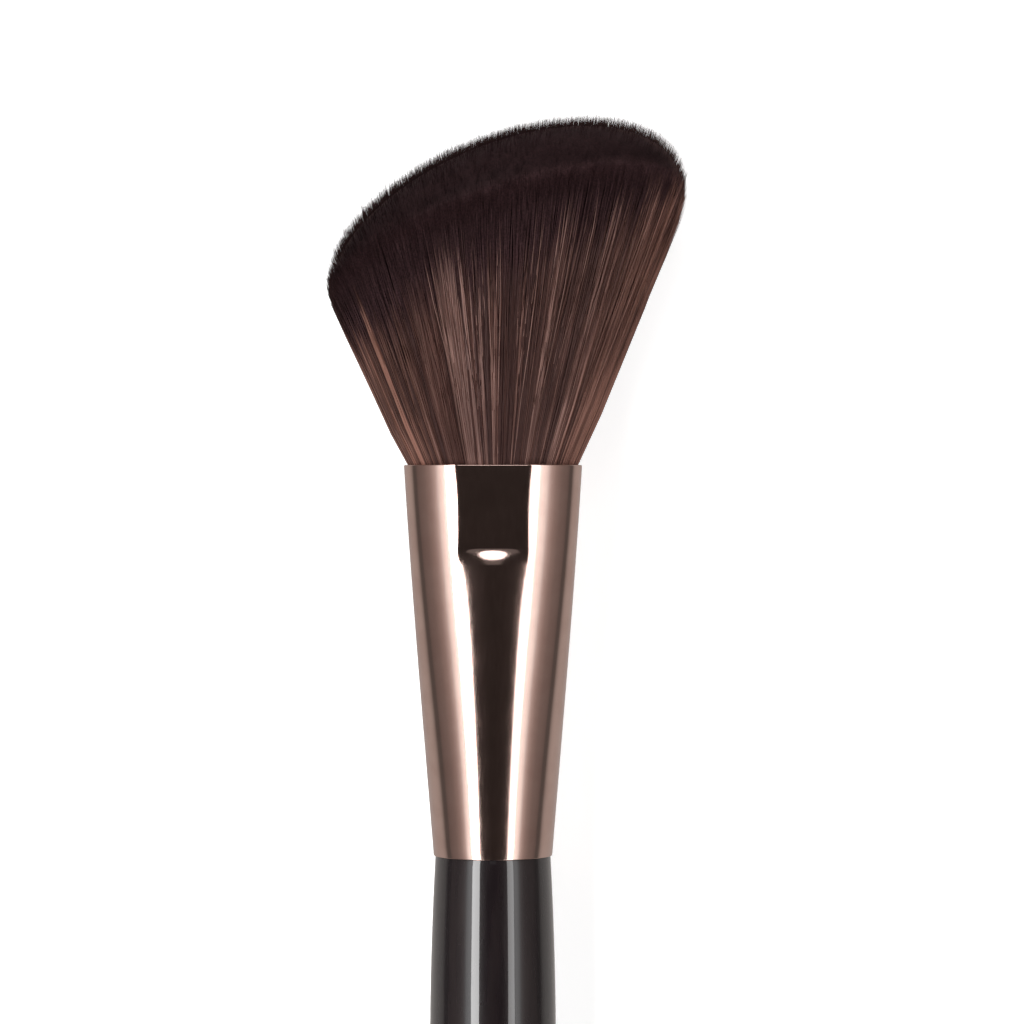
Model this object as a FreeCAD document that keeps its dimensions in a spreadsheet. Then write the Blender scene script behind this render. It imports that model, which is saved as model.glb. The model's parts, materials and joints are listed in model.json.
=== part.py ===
import FreeCAD, Part

import math
import os

import Sketcher
from FreeCAD import Placement, Rotation, Vector

# An angled blush brush lying on a table, in millimetres.
# It is drawn in its own frame first. The brush's axis is Y, with the ferrule's mouth at Y = 0, the hair
# towards +Y and the handle towards -Y. X runs across the wide side of the hair and Z through its thickness.
# The last section lays the finished brush down on its hair and the handle's thickest part.

# Driving dimensions: alias, value, meaning
SIZES = [
    ("ferrule_length", 39.0, "ferrule from its round end to its mouth"),
    ("wall", 0.4, "thickness of the ferrule's tube"),
    ("lip", 0.12, "rounding on the outer edges of the ferrule's two cut ends"),
    ("base_radius", 5.93, "outside radius of the ferrule's round end"),
    ("waist_height", 14.5, "height above the round end up to which the tube stays nearly round"),
    ("waist_half_width", 7.12, "half width of the tube at the waist"),
    ("waist_swell", 0.07, "how far the tube's half thickness at the waist exceeds its base radius"),
    ("neck_height", 26.0, "height above the round end where the flattening is well under way"),
    ("neck_half_width", 8.03, "half width of the tube at the neck"),
    ("neck_half_thickness", 5.45, "half thickness of the tube at the neck"),
    ("mouth_half_width", 8.92, "half width of the tube at its mouth"),
    ("mouth_half_thickness", 5.30, "half thickness of the tube at its mouth, but for the press flats"),
    ("press_height", 8.3, "length of the press flats, measured down from the mouth"),
    ("press_depth", 0.47, "how deep the press flats lie below the oval's front and back"),
    ("ledge_run", 2.2, "length of the rounded ledge below each press flat"),
    ("ledge_lift", 0.1, "how far the ledge's end rises over the oval, so that it fades into it"),
    ("shoulder_step", 0.18, "how far the handle stands inside the ferrule's outside at their joint"),
    ("tenon_length", 14.0, "length of the handle's tenon inside the ferrule"),
    ("tenon_gap", 0.05, "glue gap round the tenon"),
    ("tenon_chamfer", 0.8, "chamfer on the tenon's end"),
    ("handle_length", 106.0, "visible length of the handle"),
    ("belly_distance", 20.0, "distance from the ferrule to the handle's thickest point"),
    ("belly_radius", 6.3, "radius of the handle at its thickest point"),
    ("taper_radius", 400.0, "radius of the long curve that leads from the belly into the taper"),
    ("nose_radius", 3.2, "radius of the handle's rounded tail"),
    ("root_length", 12.0, "depth of the hair's roots below the mouth"),
    ("root_gap", 0.1, "gap between the hair's roots and the tube"),
    ("plug_length", 6.0, "thickness of the resin plug that holds the roots"),
    ("dish_depth", 0.9, "depth of the dish that the resin leaves on the plug's rear face"),
    ("side_spread", 0.425, "how far the hair spreads sideways, for each millimetre of its length"),
    ("depth_spread", 0.2, "how far the hair spreads in thickness, for each millimetre of its length"),
    ("side_lean", 0.027, "how far the whole fan leans to -X, for each millimetre of its length"),
    ("rim_length", 20.7, "length of the outermost hairs, midway across"),
    ("rim_slant", 4.2, "how much longer the outermost hairs are at +X, and shorter at -X"),
    ("dome_height", 12.0, "how far the middle hairs stand over the outermost ones, midway across"),
    ("dome_slant", 3.8, "how much higher that dome is at +X, and lower at -X"),
    ("dome_roundness", 0.57, "exponent of the dome: lower is squarer, higher is more pointed"),
    ("dome_crown", 0.4, "share of the dome's height that its front and back edges keep"),
    ("lock_count", 84, "number of hair locks round the outside"),
    ("lock_depth", 0.42, "depth of the grooves between the locks, where the hair ends"),
    ("lock_gap", 0.62, "width of the grooves between the locks, where the hair ends"),
    ("lock_start", 1.0, "height above the mouth where the grooves between the locks begin"),
    ("hair_give", 0.2, "how far the hair is pressed flat where the brush lies on it"),
]

# How finely the hair's form is drawn
RING_POINTS = 16
DOME_RINGS = 6

doc = FreeCAD.newDocument("BlushBrush")
sheet = doc.addObject("Spreadsheet::Sheet", "Sizes")
for row, (alias, number, meaning) in enumerate(SIZES, start=1):
    sheet.set(f"A{row}", alias)
    sheet.set(f"B{row}", str(number))
    sheet.set(f"C{row}", meaning)
    sheet.setAlias(f"B{row}", alias)
doc.recompute()


def value(formula):
    """The number that a formula over the sheet gives now."""
    return float(sheet.evalExpression(formula))


def size(alias):
    """One size from the sheet."""
    return float(sheet.get(alias))


def origin_plane(body, role):
    """The body's own origin plane with that role."""
    return next(f for f in body.Origin.OriginFeatures if f.Role == role)


def new_sketch(body, name, role, offset="0"):
    """A sketch on one of the body's origin planes, moved along its normal by a formula."""
    sketch = body.newObject("Sketcher::SketchObject", name)
    sketch.AttachmentSupport = [(origin_plane(body, role), "")]
    sketch.MapMode = "FlatFace"
    sketch.setExpression(".AttachmentOffset.Base.z", offset)
    return sketch


def bind(sketch, name, kind, where, formula):
    """Adds a named dimension to a sketch, at the geometry in where, and ties it to a formula."""
    index = sketch.addConstraint(Sketcher.Constraint(kind, *where, value(formula)))
    sketch.renameConstraint(index, name)
    sketch.setExpression(f".Constraints.{name}", formula)


def relate(sketch, kind, *places):
    """Adds the same geometric constraint at each place."""
    for place in places:
        sketch.addConstraint(Sketcher.Constraint(kind, *place))


# Ends of a sketched edge, and the sketch's own origin and upright axis
START, END, CENTRE = range(1, 4)
ORIGIN = (-1, 1)
UPRIGHT = -2

# The oval tube of the ferrule

# Each section of the tube: its name, height above the round end, half width and half thickness.
SECTIONS = [
    ("base", "0", "Sizes.base_radius", "Sizes.base_radius"),
    (
        "waist",
        "Sizes.waist_height",
        "Sizes.waist_half_width",
        "Sizes.base_radius + Sizes.waist_swell",
    ),
    ("neck", "Sizes.neck_height", "Sizes.neck_half_width", "Sizes.neck_half_thickness"),
    ("mouth", "Sizes.ferrule_length", "Sizes.mouth_half_width", "Sizes.mouth_half_thickness"),
]


def oval_section(body, section, inset):
    """One section of the tube: a circle at the round end and an ellipse above it."""
    name, height, half_width, half_thickness = section
    wide, thick = f"{half_width} - {inset}", f"{half_thickness} - {inset}"
    sketch = new_sketch(
        body, f"{body.Name}_{name}", "XZ_Plane", f"Sizes.ferrule_length - {height}"
    )
    middle = Vector(0, 0, 0)
    if half_width == half_thickness:
        sketch.addGeometry(Part.Circle(middle, Vector(0, 0, 1), value(wide)), False)
        relate(sketch, "Coincident", (0, CENTRE, *ORIGIN))
        bind(sketch, "radius", "Radius", (0,), wide)
        return sketch
    ends = Vector(value(wide), 0, 0), Vector(0, value(thick), 0)
    sketch.addGeometry(Part.Ellipse(*ends, middle), False)
    sketch.exposeInternalGeometry(0)
    ellipse, major, minor = range(3)
    relate(sketch, "Coincident", (ellipse, CENTRE, *ORIGIN))
    relate(sketch, "Horizontal", (major,))
    bind(sketch, "width", "Distance", (major,), f"2 * ({wide})")
    bind(sketch, "thickness", "Distance", (minor,), f"2 * ({thick})")
    return sketch


def press_profile(body, inset):
    """What the press takes off the tube's front: a flat, and below it a rounded ledge."""
    level = f"Sizes.mouth_half_thickness - Sizes.press_depth - {inset}"
    rise = "(Sizes.press_depth + Sizes.ledge_lift)"
    curve = f"(Sizes.ledge_run ^ 2 + {rise} ^ 2) / (2 * {rise}) - {inset}"
    ledge_end = "Sizes.press_height + Sizes.ledge_run"
    drop = f"({curve}) - ({level}) - {rise}"
    outside = "Sizes.mouth_half_thickness + 3"
    overrun = "1"
    middle = Vector(-value(ledge_end), -value(drop), 0)
    crest = Vector(middle.x, middle.y + value(curve), 0)
    crease = Vector(middle.x + size("ledge_run"), value(level), 0)
    above = Vector(middle.x, value(outside), 0)
    corner_out = Vector(value(overrun), value(outside), 0)
    corner_in = Vector(value(overrun), value(level), 0)
    slope = math.atan2(crease.y - middle.y, crease.x - middle.x)
    sketch = new_sketch(body, f"{body.Name}_press", "YZ_Plane")
    circle = Part.Circle(middle, Vector(0, 0, 1), value(curve))
    for edge in (
        Part.LineSegment(corner_in, crease),
        Part.ArcOfCircle(circle, slope, math.pi / 2),
        Part.LineSegment(crest, above),
        Part.LineSegment(above, corner_out),
        Part.LineSegment(corner_out, corner_in),
    ):
        sketch.addGeometry(edge, False)
    flat, ledge, riser, lid, front = range(5)
    relate(
        sketch,
        "Coincident",
        (flat, END, ledge, START),
        (ledge, END, riser, START),
        (riser, END, lid, START),
        (lid, END, front, START),
        (front, END, flat, START),
    )
    relate(sketch, "Horizontal", (flat,), (lid,))
    relate(sketch, "Vertical", (riser,), (front,), (ledge, CENTRE, ledge, END))
    bind(sketch, "flat_level", "DistanceY", (*ORIGIN, flat, START), level)
    bind(sketch, "ledge_radius", "Radius", (ledge,), curve)
    bind(sketch, "ledge_end", "DistanceX", (ledge, CENTRE, *ORIGIN), ledge_end)
    bind(sketch, "ledge_drop", "DistanceY", (ledge, CENTRE, *ORIGIN), drop)
    bind(sketch, "reach", "DistanceY", (*ORIGIN, riser, END), outside)
    bind(sketch, "overrun", "DistanceX", (*ORIGIN, front, END), overrun)
    return sketch


def pressed_oval(name, inset):
    """The tube's form as a solid, with its press flats, moved inwards all round by the inset."""
    body = doc.addObject("PartDesign::Body", name)
    sections = [oval_section(body, section, inset) for section in SECTIONS]
    doc.recompute()
    loft = body.newObject("PartDesign::AdditiveLoft", f"{name}_loft")
    loft.Profile = sections[0]
    loft.Sections = sections[1:]
    doc.recompute()
    pocket = body.newObject("PartDesign::Pocket", f"{name}_front_flat")
    pocket.Profile = press_profile(body, inset)
    pocket.Type = "ThroughAll"
    pocket.SideType = "Symmetric"
    doc.recompute()
    back = body.newObject("PartDesign::Mirrored", f"{name}_back_flat")
    back.Originals = [pocket]
    back.MirrorPlane = (origin_plane(body, "XY_Plane"), [""])
    body.Tip = back
    doc.recompute()
    if not back.Shape.Volume < pocket.Shape.Volume < loft.Shape.Volume:
        raise RuntimeError(f"a press flat of {name} cuts nothing")
    return body


def soften_ends(body):
    """Rounds the outer edges of the tube's two cut ends."""
    flat = 1e-6
    edges = [
        f"Edge{number}"
        for number, edge in enumerate(body.Shape.Edges, start=1)
        if edge.BoundBox.YLength < flat
        and min(abs(edge.BoundBox.YMin), abs(edge.BoundBox.YMin + size("ferrule_length"))) < flat
    ]
    pressed = body.Tip
    fillet = body.newObject("PartDesign::Fillet", f"{body.Name}_lips")
    fillet.Base = (pressed, edges)
    fillet.setExpression("Radius", "Sizes.lip")
    body.Tip = fillet
    doc.recompute()


# The turned handle


def handle_outline(body):
    """Half of the handle's outline: tenon, shoulder, belly, long taper and rounded tail."""
    shoulder_y = -size("ferrule_length")
    tenon_y = shoulder_y + size("tenon_length")
    belly_y = shoulder_y - size("belly_distance")
    tail_y = shoulder_y - size("handle_length")
    tenon_radius = "Sizes.base_radius - Sizes.wall - Sizes.tenon_gap"
    shoulder_radius = "Sizes.base_radius - Sizes.shoulder_step"
    tenon, shoulder, belly = value(tenon_radius), value(shoulder_radius), size("belly_radius")
    chamfer, nose, lower_radius = size("tenon_chamfer"), size("nose_radius"), size("taper_radius")
    rise = belly - shoulder
    upper_radius = (rise**2 + size("belly_distance") ** 2) / (2 * rise)
    upper_centre = Vector(belly - upper_radius, belly_y, 0)
    lower_centre = Vector(belly - lower_radius, belly_y, 0)
    nose_centre = Vector(0, tail_y + nose, 0)
    across = nose_centre - lower_centre
    turn = math.acos((lower_radius - nose) / across.Length)
    taper_angle = math.atan2(across.y, across.x) + turn
    normal = Vector(math.cos(taper_angle), math.sin(taper_angle), 0)
    upper_angle = math.atan2(shoulder_y - upper_centre.y, shoulder - upper_centre.x)
    corners = [
        Vector(0, tail_y, 0),
        Vector(0, tenon_y, 0),
        Vector(tenon - chamfer, tenon_y, 0),
        Vector(tenon, tenon_y - chamfer, 0),
        Vector(tenon, shoulder_y, 0),
        Vector(shoulder, shoulder_y, 0),
    ]
    facing = Vector(0, 0, 1)
    edges = [Part.LineSegment(one, two) for one, two in zip(corners, corners[1:])]
    edges += [
        Part.ArcOfCircle(Part.Circle(upper_centre, facing, upper_radius), 0, upper_angle),
        Part.ArcOfCircle(Part.Circle(lower_centre, facing, lower_radius), taper_angle, 0),
        Part.LineSegment(lower_centre + normal * lower_radius, nose_centre + normal * nose),
        Part.ArcOfCircle(Part.Circle(nose_centre, facing, nose), -math.pi / 2, taper_angle),
    ]
    sketch = new_sketch(body, "handle_outline", "XY_Plane")
    for edge in edges:
        sketch.addGeometry(edge, False)
    axis, tenon_end, bevel, tenon_side, step, upper, lower, taper, tail = range(9)
    relate(
        sketch,
        "Coincident",
        (axis, END, tenon_end, START),
        (tenon_end, END, bevel, START),
        (bevel, END, tenon_side, START),
        (tenon_side, END, step, START),
        (step, END, upper, END),
        (upper, START, lower, END),
        (tail, START, axis, START),
    )
    relate(sketch, "Tangent", (lower, START, taper, START), (taper, END, tail, END))
    relate(
        sketch,
        "PointOnObject",
        (axis, START, UPRIGHT),
        (axis, END, UPRIGHT),
        (tail, CENTRE, UPRIGHT),
    )
    relate(
        sketch,
        "Horizontal",
        (tenon_end,),
        (step,),
        (upper, CENTRE, upper, START),
        (lower, CENTRE, lower, END),
    )
    relate(sketch, "Vertical", (tenon_side,))
    length = "Sizes.ferrule_length"
    for name, kind, where, formula in [
        ("tenon_top", "DistanceY", (axis, END, *ORIGIN), f"{length} - Sizes.tenon_length"),
        ("tenon_radius", "DistanceX", (*ORIGIN, tenon_side, START), tenon_radius),
        ("bevel_in", "DistanceX", (tenon_end, END, bevel, END), "Sizes.tenon_chamfer"),
        ("bevel_down", "DistanceY", (bevel, END, tenon_end, END), "Sizes.tenon_chamfer"),
        ("shoulder_level", "DistanceY", (step, END, *ORIGIN), length),
        ("shoulder_radius", "DistanceX", (*ORIGIN, step, END), shoulder_radius),
        ("belly_level", "DistanceY", (lower, END, *ORIGIN), f"{length} + Sizes.belly_distance"),
        ("belly_radius", "DistanceX", (*ORIGIN, lower, END), "Sizes.belly_radius"),
        ("taper_radius", "Radius", (lower,), "Sizes.taper_radius"),
        ("nose_radius", "Radius", (tail,), "Sizes.nose_radius"),
        ("tail_level", "DistanceY", (tail, START, *ORIGIN), f"{length} + Sizes.handle_length"),
    ]:
        bind(sketch, name, kind, where, formula)
    return sketch


def make_handle():
    """The lacquered wooden handle, turned in one piece with its tenon."""
    body = doc.addObject("PartDesign::Body", "handle")
    sketch = handle_outline(body)
    doc.recompute()
    turning = body.newObject("PartDesign::Revolution", "handle_turning")
    turning.Profile = sketch
    turning.ReferenceAxis = (sketch, ["V_Axis"])
    turning.Angle = 360.0
    doc.recompute()
    return body


# The resin plug and the hair's roots inside the ferrule


def slab(name, depth, thickness):
    """A box across the whole tube, whose top lies that deep below the mouth."""
    box = doc.addObject("Part::Box", name)
    reach = "2 * Sizes.mouth_half_width"
    for side in ("Length", "Height"):
        box.setExpression(side, f"2 * {reach}")
    for axis in ("x", "z"):
        box.setExpression(f"Placement.Base.{axis}", f"-{reach}")
    box.setExpression("Width", thickness)
    box.setExpression("Placement.Base.y", f"-{depth} - {thickness}")
    return box


def common(name, *shapes):
    """What two solids share."""
    result = doc.addObject("Part::MultiCommon", name)
    result.Shapes = list(shapes)
    doc.recompute()
    return result


def cut(name, base, tool):
    """One solid less another."""
    result = doc.addObject("Part::Cut", name)
    result.Base = base
    result.Tool = tool
    doc.recompute()
    return result


def make_plug(bore):
    """The resin disc that fills the tube behind the roots, with a dished rear face."""
    block = common("plug_block", bore, slab("plug_slab", "Sizes.root_length", "Sizes.plug_length"))
    dish = doc.addObject("Part::Sphere", "plug_dish")
    reach = "(Sizes.base_radius - Sizes.wall)"
    radius = f"({reach} ^ 2 + Sizes.dish_depth ^ 2) / (2 * Sizes.dish_depth)"
    dish.setExpression("Radius", radius)
    deepest = "Sizes.root_length + Sizes.plug_length - Sizes.dish_depth"
    dish.setExpression("Placement.Base.y", f"-({deepest}) - ({radius})")
    return cut("glue_plug", block, dish)


# The hair


def hair_length(across, through):
    """Length of the hair whose root lies at (across, through), each a share of the mouth from -1 to 1."""
    crown, roundness = size("dome_crown"), size("dome_roundness")
    ridge = max(0.0, 1.0 - across**2) ** roundness
    inner = max(0.0, 1.0 - across**2 - through**2) ** roundness
    dome = size("dome_height") + size("dome_slant") * across
    rim = size("rim_length") + size("rim_slant") * across
    return rim + dome * (crown * ridge + (1 - crown) * inner)


def hair_point(across, through, height):
    """Where that hair is at a height above the mouth. The hair's edge starts midway in the tube's wall."""
    wide = value("Sizes.mouth_half_width - Sizes.wall / 2")
    thick = value("Sizes.mouth_half_thickness - Sizes.press_depth - Sizes.wall / 2")
    x = across * (wide + size("side_spread") * height) - size("side_lean") * height
    z = through * (thick + size("depth_spread") * height)
    return Vector(x, height, z)


def hair_ring(points):
    """A closed smooth curve through points that go once round the hair."""
    curve = Part.BSplineCurve()
    shares = [step / len(points) for step in range(len(points) + 1)]
    curve.interpolate(Points=points, PeriodicFlag=True, Parameters=shares)
    return Part.Wire(curve.toShape())


def hair_fan():
    """The plain fan of hair over the mouth: straight ruled sides under an angled dome."""
    turns = [2 * math.pi * step / RING_POINTS for step in range(RING_POINTS)]
    mouth = hair_ring([hair_point(math.cos(turn), math.sin(turn), 0.0) for turn in turns])
    tips = []
    for ring in range(DOME_RINGS + 1):
        share = math.cos(math.pi / 2 * ring / (DOME_RINGS + 1))
        places = [(share * math.cos(turn), share * math.sin(turn)) for turn in turns]
        tips.append(hair_ring([hair_point(*place, hair_length(*place)) for place in places]))
    crown = Part.Vertex(hair_point(0, 0, hair_length(0, 0)))
    sides = Part.makeLoft([mouth, tips[0]], False, True)
    dome = Part.makeLoft([*tips, crown], False, False)
    shell = Part.makeShell([*sides.Faces, *dome.Faces, Part.Face(mouth)])
    shell.sewShape()
    fan = Part.makeSolid(shell)
    if fan.Volume < 0:
        fan.reverse()
    return fan


def lock_groove(turn, depth, width):
    """A long wedge between two locks: a point near the mouth, which opens towards the hair's end.

    The point stands a little off the hair, so that the groove's bottom line crosses the surface.
    """
    overrun, proud, nudge, start_lift = 6.0, 0.6, 0.01, 0.06
    across, through = math.cos(turn), math.sin(turn)
    end = hair_length(across, through) + overrun
    low, high = hair_point(across, through, size("lock_start")), hair_point(across, through, end)
    beside = hair_point(math.cos(turn + nudge), math.sin(turn + nudge), end)
    side = (beside - high).normalize()
    outward = side.cross((high - low).normalize()).normalize()
    if outward.dot(Vector(across, 0, through)) < 0:
        outward = outward * -1
    mouth = side * (width / 2 * (depth + proud) / depth)
    low = low + outward * start_lift
    bottom = high - outward * depth
    rim = [bottom, high + outward * proud + mouth, high + outward * proud - mouth]
    faces = [Part.Face(Part.makePolygon([*rim, bottom]))]
    for one, two in zip(rim, [*rim[1:], bottom]):
        faces.append(Part.Face(Part.makePolygon([low, one, two, low])))
    wedge = Part.makeSolid(Part.makeShell(faces))
    if wedge.Volume < 0:
        wedge.reverse()
    return wedge


def make_tuft(root_form):
    """The tuft: the hair's roots in the ferrule, and above it the fan, grooved into uneven locks."""
    roots = common("hair_roots", root_form, slab("root_slab", "0", "Sizes.root_length"))
    count = int(size("lock_count"))
    wander, fade = 0.18, 0.25
    wedges = []
    for lock in range(count):
        turn = 2 * math.pi * (lock + wander * math.sin(5.0 * lock)) / count
        depth = size("lock_depth") * (1 - fade * (1 - math.sin(2.3 * lock)))
        wedges.append(lock_groove(turn, depth, size("lock_gap")))
    tuft = doc.addObject("Part::Feature", "bristle_tuft")
    tuft.Shape = roots.Shape.fuse(hair_fan().cut(wedges))
    return tuft


# Laying the brush down


def lower_hull(points):
    """The points, in order of Y, that a ruler laid under all the points along Y could touch."""
    hull = []
    for point in sorted(points, key=lambda p: (p.y, p.z)):
        while len(hull) > 1:
            before, last = hull[-2:]
            bend = (last.y - before.y) * (point.z - before.z)
            if bend > (last.z - before.z) * (point.y - before.y):
                break
            hull.pop()
        hull.append(point)
    return hull


def rest_placement(pieces, tuft):
    """The placement in which the brush lies on a table, with its box centred over the origin.

    It touches the table on both sides of its balance point: under the handle's belly and the hair,
    which gives a little there.
    """
    points = []
    for piece in pieces:
        give = Vector(0, 0, size("hair_give") if piece is tuft else 0.0)
        points += [point + give for point in piece.Shape.tessellate(0.02)[0]]
    volume = sum(piece.Shape.Volume for piece in pieces)
    balance = sum(piece.Shape.CenterOfGravity.y * piece.Shape.Volume for piece in pieces) / volume
    hull = lower_hull(points)
    behind, ahead = next(pair for pair in zip(hull, hull[1:]) if pair[1].y > balance)
    tilt = math.atan2(behind.z - ahead.z, ahead.y - behind.y)
    turn = Rotation(Vector(1, 0, 0), math.degrees(tilt))
    box = FreeCAD.BoundBox()
    for point in points:
        box.add(turn.multVec(point))
    return Placement(Vector(-box.Center.x, -box.Center.y, -box.ZMin), turn)


def press_on_table(tuft, lying):
    """Flattens the hair's underside against the table that the brush then lies on."""
    reach, thickness = 2 * size("handle_length"), 10.0
    table = Part.makeBox(2 * reach, 2 * reach, thickness, Vector(-reach, -reach, -thickness))
    table.Placement = lying.inverse()
    pressed = tuft.Shape.cut(table)
    if not pressed.Volume < tuft.Shape.Volume:
        raise RuntimeError("the hair doesn't reach the table")
    tuft.Shape = pressed


outside = pressed_oval("tube_outside", "0")
soften_ends(outside)
bore = pressed_oval("tube_bore", "Sizes.wall")
root_form = pressed_oval("root_form", "(Sizes.wall + Sizes.root_gap)")
tuft = make_tuft(root_form)
pieces = [make_handle(), cut("ferrule", outside, bore), make_plug(bore), tuft]
lying = rest_placement(pieces, tuft)
press_on_table(tuft, lying)
for piece in pieces:
    piece.Placement = lying
doc.recompute()

for item in doc.Objects:
    if "Invalid" in item.State or "Error" in item.State:
        raise RuntimeError(f"{item.Label} did not build: {item.State}")
os.makedirs("parts", exist_ok=True)
for piece in pieces:
    shape = piece.Shape
    if shape.isNull() or not shape.isValid() or shape.Volume <= 0:
        raise RuntimeError(f"{piece.Label} has no sound shape")
    shape.exportStep(f"parts/{piece.Label}.step")
    print(piece.Label, len(shape.Solids), "solid", round(shape.Volume, 1), "mm3")
print("tilt", round(math.degrees(lying.Rotation.Angle), 6), "mouth at", lying.Base)
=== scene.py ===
"""A blush brush lying on a pale table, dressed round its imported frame.

The brush is built in its own frame, in millimetres: x runs across the wide side of the hair, y along the
brush from the ferrule's mouth towards the tips, and z through the hair's thickness. BrushAxes places it.
"""

from __future__ import annotations

import json
import logging
import math
from collections.abc import Callable, Iterator
from dataclasses import asdict, dataclass, field, fields
from enum import Enum

import bpy
import numpy as np
from mathutils import Matrix, Vector


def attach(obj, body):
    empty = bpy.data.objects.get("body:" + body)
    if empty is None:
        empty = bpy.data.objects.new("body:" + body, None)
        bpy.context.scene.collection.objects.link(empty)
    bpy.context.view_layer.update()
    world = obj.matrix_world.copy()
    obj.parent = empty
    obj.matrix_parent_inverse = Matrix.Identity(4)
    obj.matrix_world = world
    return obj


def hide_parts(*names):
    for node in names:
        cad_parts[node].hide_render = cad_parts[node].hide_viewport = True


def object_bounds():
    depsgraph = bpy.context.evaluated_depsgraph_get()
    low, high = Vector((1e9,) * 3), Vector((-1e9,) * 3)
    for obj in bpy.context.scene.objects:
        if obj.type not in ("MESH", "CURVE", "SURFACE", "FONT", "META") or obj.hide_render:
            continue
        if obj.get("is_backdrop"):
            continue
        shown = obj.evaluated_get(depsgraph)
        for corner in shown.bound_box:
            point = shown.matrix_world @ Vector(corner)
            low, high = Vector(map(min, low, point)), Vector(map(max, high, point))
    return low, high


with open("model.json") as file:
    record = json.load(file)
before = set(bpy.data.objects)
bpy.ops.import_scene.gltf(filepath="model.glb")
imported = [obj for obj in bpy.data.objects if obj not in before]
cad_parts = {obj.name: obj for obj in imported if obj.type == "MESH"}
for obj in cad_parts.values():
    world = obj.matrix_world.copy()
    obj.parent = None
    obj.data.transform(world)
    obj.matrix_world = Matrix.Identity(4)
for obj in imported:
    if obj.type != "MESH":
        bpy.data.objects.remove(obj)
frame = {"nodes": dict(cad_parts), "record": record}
CAD_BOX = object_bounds()

MM = 0.001
FULL_TURN = 2 * math.pi
log = logging.getLogger("blush_brush")


class Slot(Enum):
    """The record's material slots."""

    HANDLE = "handle_lacquer"
    FERRULE = "ferrule_metal"
    RESIN = "resin"
    HAIR = "hair"


class Trait(Enum):
    """What each point of the hair carries for its colour."""

    OVER_RIM = "over_rim"  # height above the rim where the front turns into the dome, in millimetres
    RISE = "rise"  # height above the ferrule's mouth, in millimetres
    ACROSS = "across"  # share of the width, from -1 to 1
    THROUGH = "through"  # share of the thickness, from -1 to 1
    TINT = "tint"  # each hair's own shade, from 0 to 1
    LOCK = "lock"  # the shade that neighbouring hairs share, from 0 to 1


# Node trees


def reckoning(operation: str) -> Callable[[Wire, Wire | float], Wire]:
    """A method that puts a value and another through one arithmetic operation."""
    return lambda one, other: one.desk.math(operation, one, other)


class Wire:
    """A value inside a node tree, which can be reckoned with like a number."""

    def __init__(self, desk: Desk, socket: bpy.types.NodeSocket) -> None:
        """Keeps the socket that gives the value, and the desk that adds nodes to its tree."""
        self.desk, self.socket = desk, socket

    __add__ = __radd__ = reckoning("ADD")
    __sub__ = reckoning("SUBTRACT")
    __mul__ = __rmul__ = reckoning("MULTIPLY")
    __truediv__ = reckoning("DIVIDE")
    __pow__ = reckoning("POWER")

    def __rsub__(self, other: float) -> Wire:
        """The number less this value."""
        return self.desk.math("SUBTRACT", other, self)


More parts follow.
